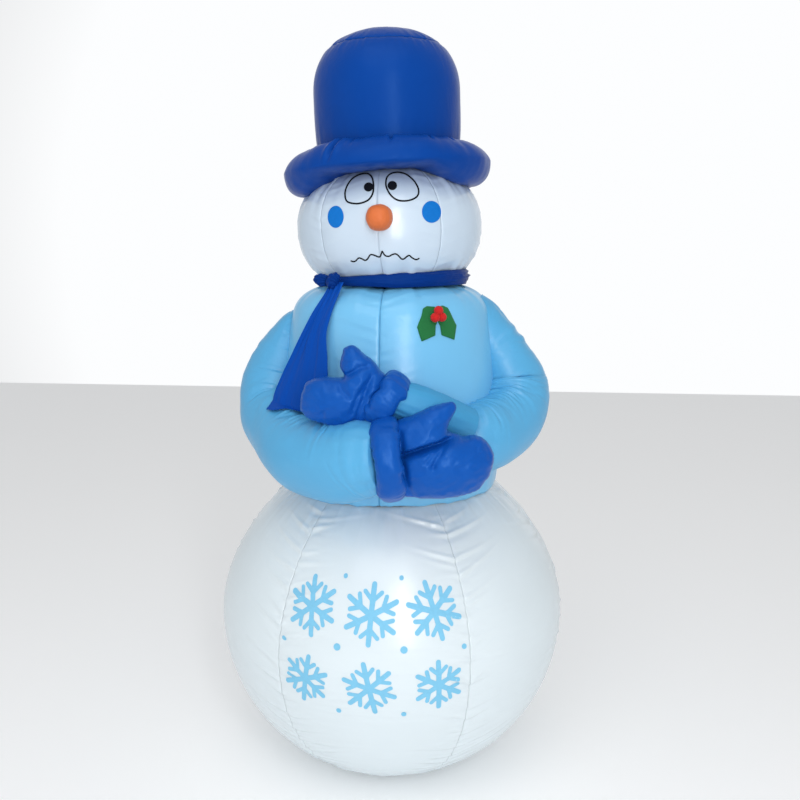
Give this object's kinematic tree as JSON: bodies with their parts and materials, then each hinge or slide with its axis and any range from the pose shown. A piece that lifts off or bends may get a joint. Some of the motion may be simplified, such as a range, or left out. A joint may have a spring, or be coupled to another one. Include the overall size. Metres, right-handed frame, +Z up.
{
  "type": "inflatable yard snowman",
  "caption": "Upright air-filled cloth snowman with a round base, crossed mittened arms, brimmed hat, scarf and a rear blower.",
  "frame": {"origin": "centre of the round ground panel's underside, on the ground", "axes": "+Z up along the body, -Y the way the snowman faces, +X its own left hand"},
  "size_m": [0.874, 0.92, 1.8338],
  "materials": {
    "fabric_white": "satin",
    "fabric_sky": "satin",
    "fabric_sky_dull": "matte",
    "fabric_royal": "satin",
    "fabric_mitten": "satin",
    "fabric_dark": "matte",
    "scarf_cloth": "satin",
    "nose_fabric": "satin",
    "felt_green": "matte felt",
    "pompom_red": "matte",
    "webbing": "woven",
    "ribbon": "satin",
    "zipper_tape": "woven",
    "zipper_plastic": "satin",
    "plastic_black": "moulded",
    "steel": "satin",
    "copper_winding": "satin",
    "motor_iron": "satin",
    "cord_green": "satin",
    "lamp_green": "satin",
    "lamp_lens": "frosted"
  },
  "bodies": {
    "root": {"base_panel": "fabric_dark", "ball_front_panel": "fabric_white", "ball_front_left_panel": "fabric_white", "ball_back_left_panel": "fabric_white", "ball_back_panel": "fabric_white", "ball_back_right_panel": "fabric_white", "ball_front_right_panel": "fabric_white", "torso_front_right_panel": "fabric_sky", "torso_front_left_panel": "fabric_sky", "torso_back_left_panel": "fabric_sky", "torso_back_right_panel": "fabric_sky", "face_right_panel": "fabric_white", "face_left_panel": "fabric_white", "head_left_panel": "fabric_white", "head_right_panel": "fabric_white", "head_back_panels": "fabric_white", "hat_brim_lower": "fabric_royal", "hat_brim_upper": "fabric_royal", "hat_crown_side": "fabric_royal", "hat_crown_top": "fabric_royal", "right_sleeve": "fabric_sky", "right_mitten_cuff": "fabric_mitten", "right_mitten": "fabric_mitten", "left_sleeve": "fabric_sky", "left_inner_sleeve": "fabric_sky_dull", "left_mitten_cuff": "fabric_mitten", "left_mitten": "fabric_mitten", "scarf_neck_band": "scarf_cloth", "scarf_knot": "scarf_cloth", "scarf_tail": "scarf_cloth", "nose": "nose_fabric", "holly_leaves": "felt_green", "holly_berries": "pompom_red", "zipper_tapes": "zipper_tape", "zipper_teeth": "zipper_plastic", "zipper_stops": "steel", "blower_duct": "plastic_black", "blower_collar": "fabric_white", "blower_intake_grille": "plastic_black", "blower_motor_mount": "plastic_black", "motor_case": "steel", "motor_stator": "copper_winding", "motor_bearings": "steel", "blower_screws": "steel", "power_inlet": "plastic_black", "light_cord": "cord_green", "light_sockets": "lamp_green", "light_lenses": "lamp_lens", "light_tabs": "ribbon", "stake_tabs": "webbing", "stake_eyelets": "steel", "tether_tabs": "webbing"},
    "fan": {"motor_rotor": "motor_iron", "motor_shaft": "steel", "impeller": "plastic_black"},
    "zip_slider": {"zipper_slider": "steel"},
    "zip_pull": {"zipper_pull": "steel"},
    "ring_right": {"tether_ring_right": "steel"},
    "ring_left": {"tether_ring_left": "steel"}
  },
  "joints": [
    {"name": "fan_spin", "type": "hinge", "parent": "root", "child": "fan", "pos_m": [0, 0.4, 0.25], "axis": [0, 1, 0], "continuous": true},
    {"name": "zipper_slide", "type": "hinge", "parent": "root", "child": "zip_slider", "pos_m": [0, 0, 0.43], "axis": [0, 0, 1], "range_deg": [-27.2, 0]},
    {"name": "zipper_pull_flip", "type": "hinge", "parent": "zip_slider", "child": "zip_pull", "pos_m": [-0.10662, 0.4341, 0.43], "axis": [0, 0, 1], "range_deg": [0, 150]},
    {"name": "tether_ring_right_swing", "type": "hinge", "parent": "root", "child": "ring_right", "pos_m": [-0.112, 0.266, 1.062], "axis": [1, 0, 0], "range_deg": [0, 110]},
    {"name": "tether_ring_left_swing", "type": "hinge", "parent": "root", "child": "ring_left", "pos_m": [0.112, 0.266, 1.062], "axis": [1, 0, 0], "range_deg": [0, 110]}
  ]
}
